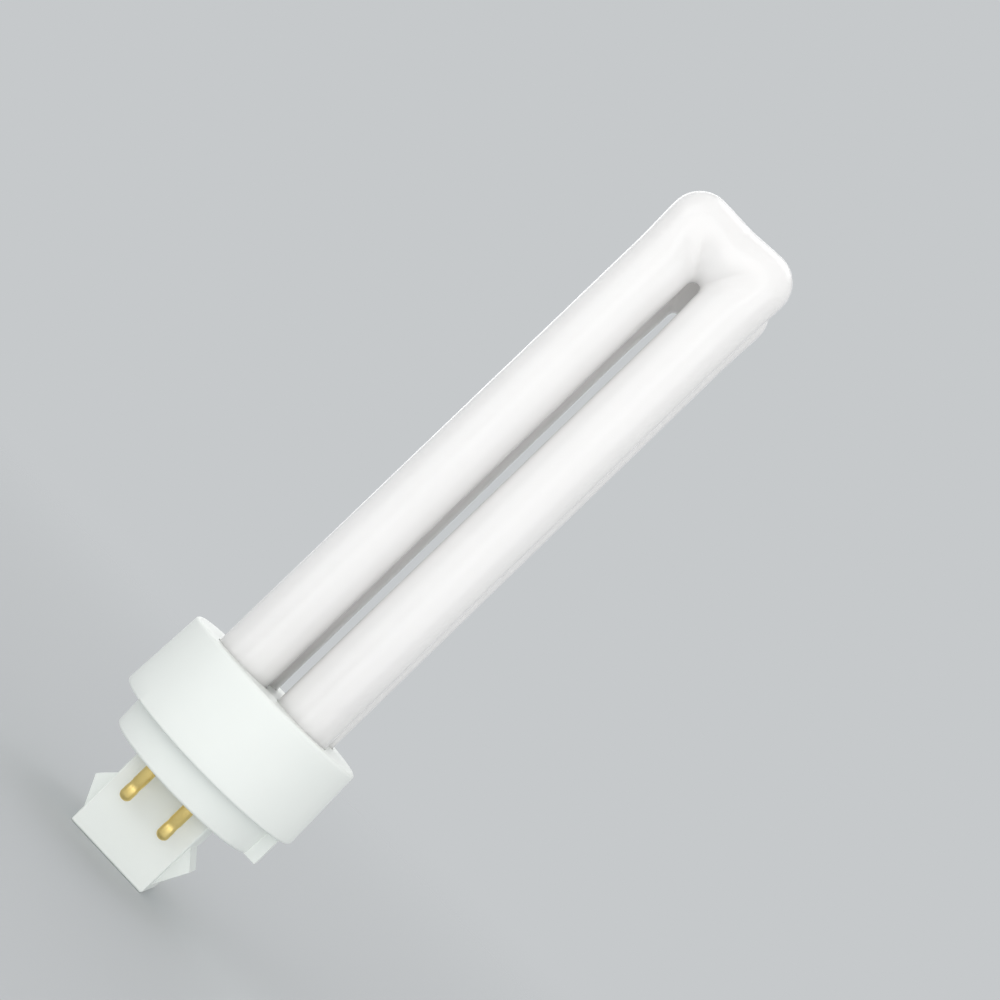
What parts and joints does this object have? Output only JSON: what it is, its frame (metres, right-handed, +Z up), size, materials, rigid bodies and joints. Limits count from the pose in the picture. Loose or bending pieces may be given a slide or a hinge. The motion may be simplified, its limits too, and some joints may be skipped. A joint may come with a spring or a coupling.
{
  "type": "compact fluorescent bulb",
  "caption": "Plug-in compact fluorescent lamp: square-bent white glass tubes in a square bundle, on a round white base with a keyed post and brass contact pins.",
  "frame": {"origin": "centre of the flat end of the post, which is the lowest face, on the lamp's axis", "axes": "+Z up the lamp's axis from the post to the tip of the tubes; +X towards the key rib on the ring, across the post's wide faces; the pair of legs joined by one bend lies along X"},
  "size_m": [0.042, 0.042, 0.1627],
  "materials": {
    "tube_glass": "smooth clear glass, coated inside with white phosphor powder, so it looks opaque white",
    "base_plastic": "white moulded thermoplastic polyester, satin",
    "pin_brass": "bare drawn brass",
    "lead_wire": "nickel-plated wire",
    "cement": "matt basing cement"
  },
  "bodies": {
    "root": {"discharge_tube": "tube_glass", "collar_shell": "base_plastic", "pin_carrier": "base_plastic", "contact_pin_front_left": "pin_brass", "contact_pin_front_right": "pin_brass", "contact_pin_rear_left": "pin_brass", "contact_pin_rear_right": "pin_brass", "lead_wire_front_left": "lead_wire", "lead_wire_front_right": "lead_wire", "lead_wire_rear_left": "lead_wire", "lead_wire_rear_right": "lead_wire", "cement_beads": "cement"}
  },
  "joints": []
}
